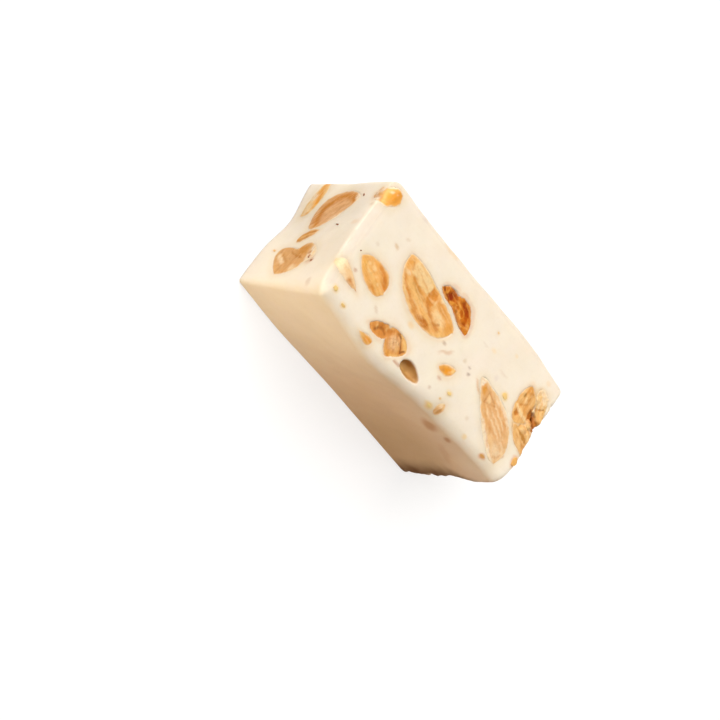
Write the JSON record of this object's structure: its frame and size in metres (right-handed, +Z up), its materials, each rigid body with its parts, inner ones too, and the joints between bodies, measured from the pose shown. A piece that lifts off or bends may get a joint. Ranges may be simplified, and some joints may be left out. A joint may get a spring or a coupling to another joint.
{
  "type": "nougat bar",
  "caption": "Hand-cut bar of soft white nougat with whole, split and broken almonds cut flush with its faces, lying on one flat cut face.",
  "frame": {"origin": "middle of the base, on the surface that the bar lies on", "axes": "+X along the bar, away from the end that shows the most almonds; +Z up, out of the large cut face; +Y to the far side"},
  "size_m": [0.0744, 0.0356, 0.0341],
  "materials": {
    "nougat": "satin",
    "almond_golden": "satin",
    "almond_tan": "satin",
    "almond_pale": "satin",
    "almond_dark": "satin"
  },
  "bodies": {
    "root": {"nougat": "nougat", "almond_large": "almond_golden", "almond_small": "almond_golden", "almond_dark": "almond_dark", "almond_broken": "almond_golden", "almond_ribbed": "almond_golden", "almond_pale_sliver": "almond_pale", "almond_round": "almond_golden", "chip_ridge": "almond_golden", "chip_golden": "almond_golden", "chip_round": "almond_golden", "corner_fragment_upper": "almond_golden", "corner_fragment_lower": "almond_golden", "corner_fragment_outer": "almond_golden", "end_almond_large": "almond_tan", "end_almond_split": "almond_tan", "end_almond_strip": "almond_golden", "end_almond_sliver": "almond_golden", "far_end_large": "almond_golden", "far_end_small": "almond_tan", "far_end_chip": "almond_golden", "far_side_large": "almond_golden", "far_side_small": "almond_golden", "base_large": "almond_golden", "base_middle": "almond_tan", "base_far": "almond_golden", "base_chip": "almond_golden"}
  },
  "joints": []
}
